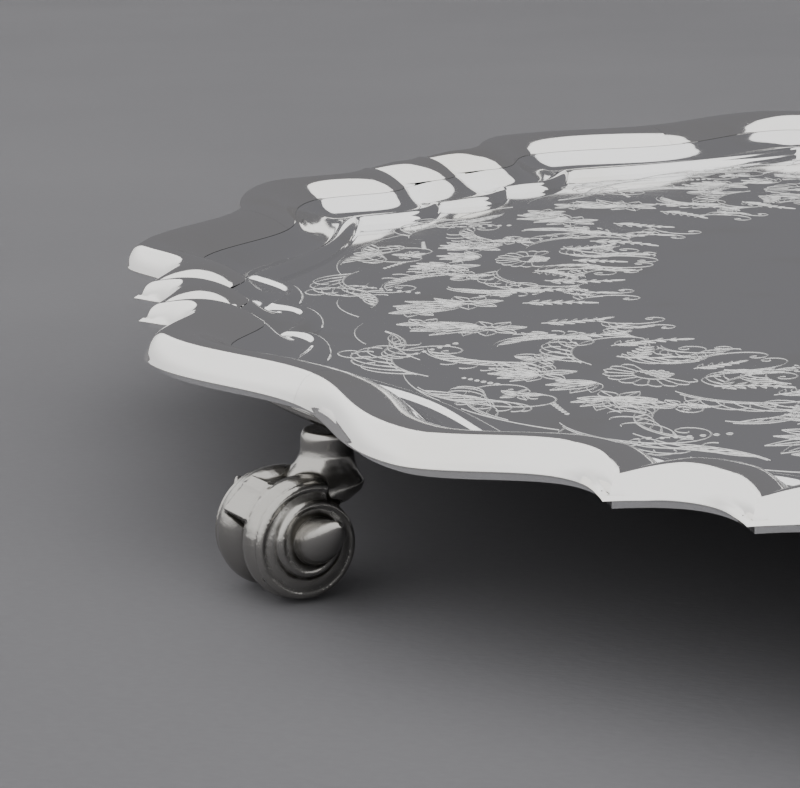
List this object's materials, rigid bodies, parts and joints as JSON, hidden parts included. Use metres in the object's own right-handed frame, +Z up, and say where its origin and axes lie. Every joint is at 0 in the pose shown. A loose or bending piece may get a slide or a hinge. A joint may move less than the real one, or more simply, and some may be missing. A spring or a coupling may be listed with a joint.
{
  "type": "salver",
  "caption": "Round silver salver with a scalloped, beaded border, an engraved flat well and scroll feet.",
  "frame": {"origin": "on the ground under the middle of the tray", "axes": "+Z up; the feet stand on the diagonals between X and Y"},
  "size_m": [0.3048, 0.3048, 0.0237],
  "materials": {
    "sheet_silver": "polished sterling silver with bright-cut engraving",
    "border_silver": "mirror polished cast sterling silver",
    "cast_silver": "cast sterling silver, satin, darker in the recesses"
  },
  "bodies": {
    "root": {"tray_plate": "sheet_silver", "border_section_1": "border_silver", "border_section_2": "border_silver", "border_section_3": "border_silver", "border_section_4": "border_silver", "border_section_5": "border_silver", "border_section_6": "border_silver", "border_section_7": "border_silver", "border_section_8": "border_silver", "foot_pad_1": "cast_silver", "foot_pad_2": "cast_silver", "foot_pad_3": "cast_silver", "foot_pad_4": "cast_silver", "foot_1": "cast_silver", "foot_2": "cast_silver", "foot_3": "cast_silver", "foot_4": "cast_silver"}
  },
  "joints": []
}
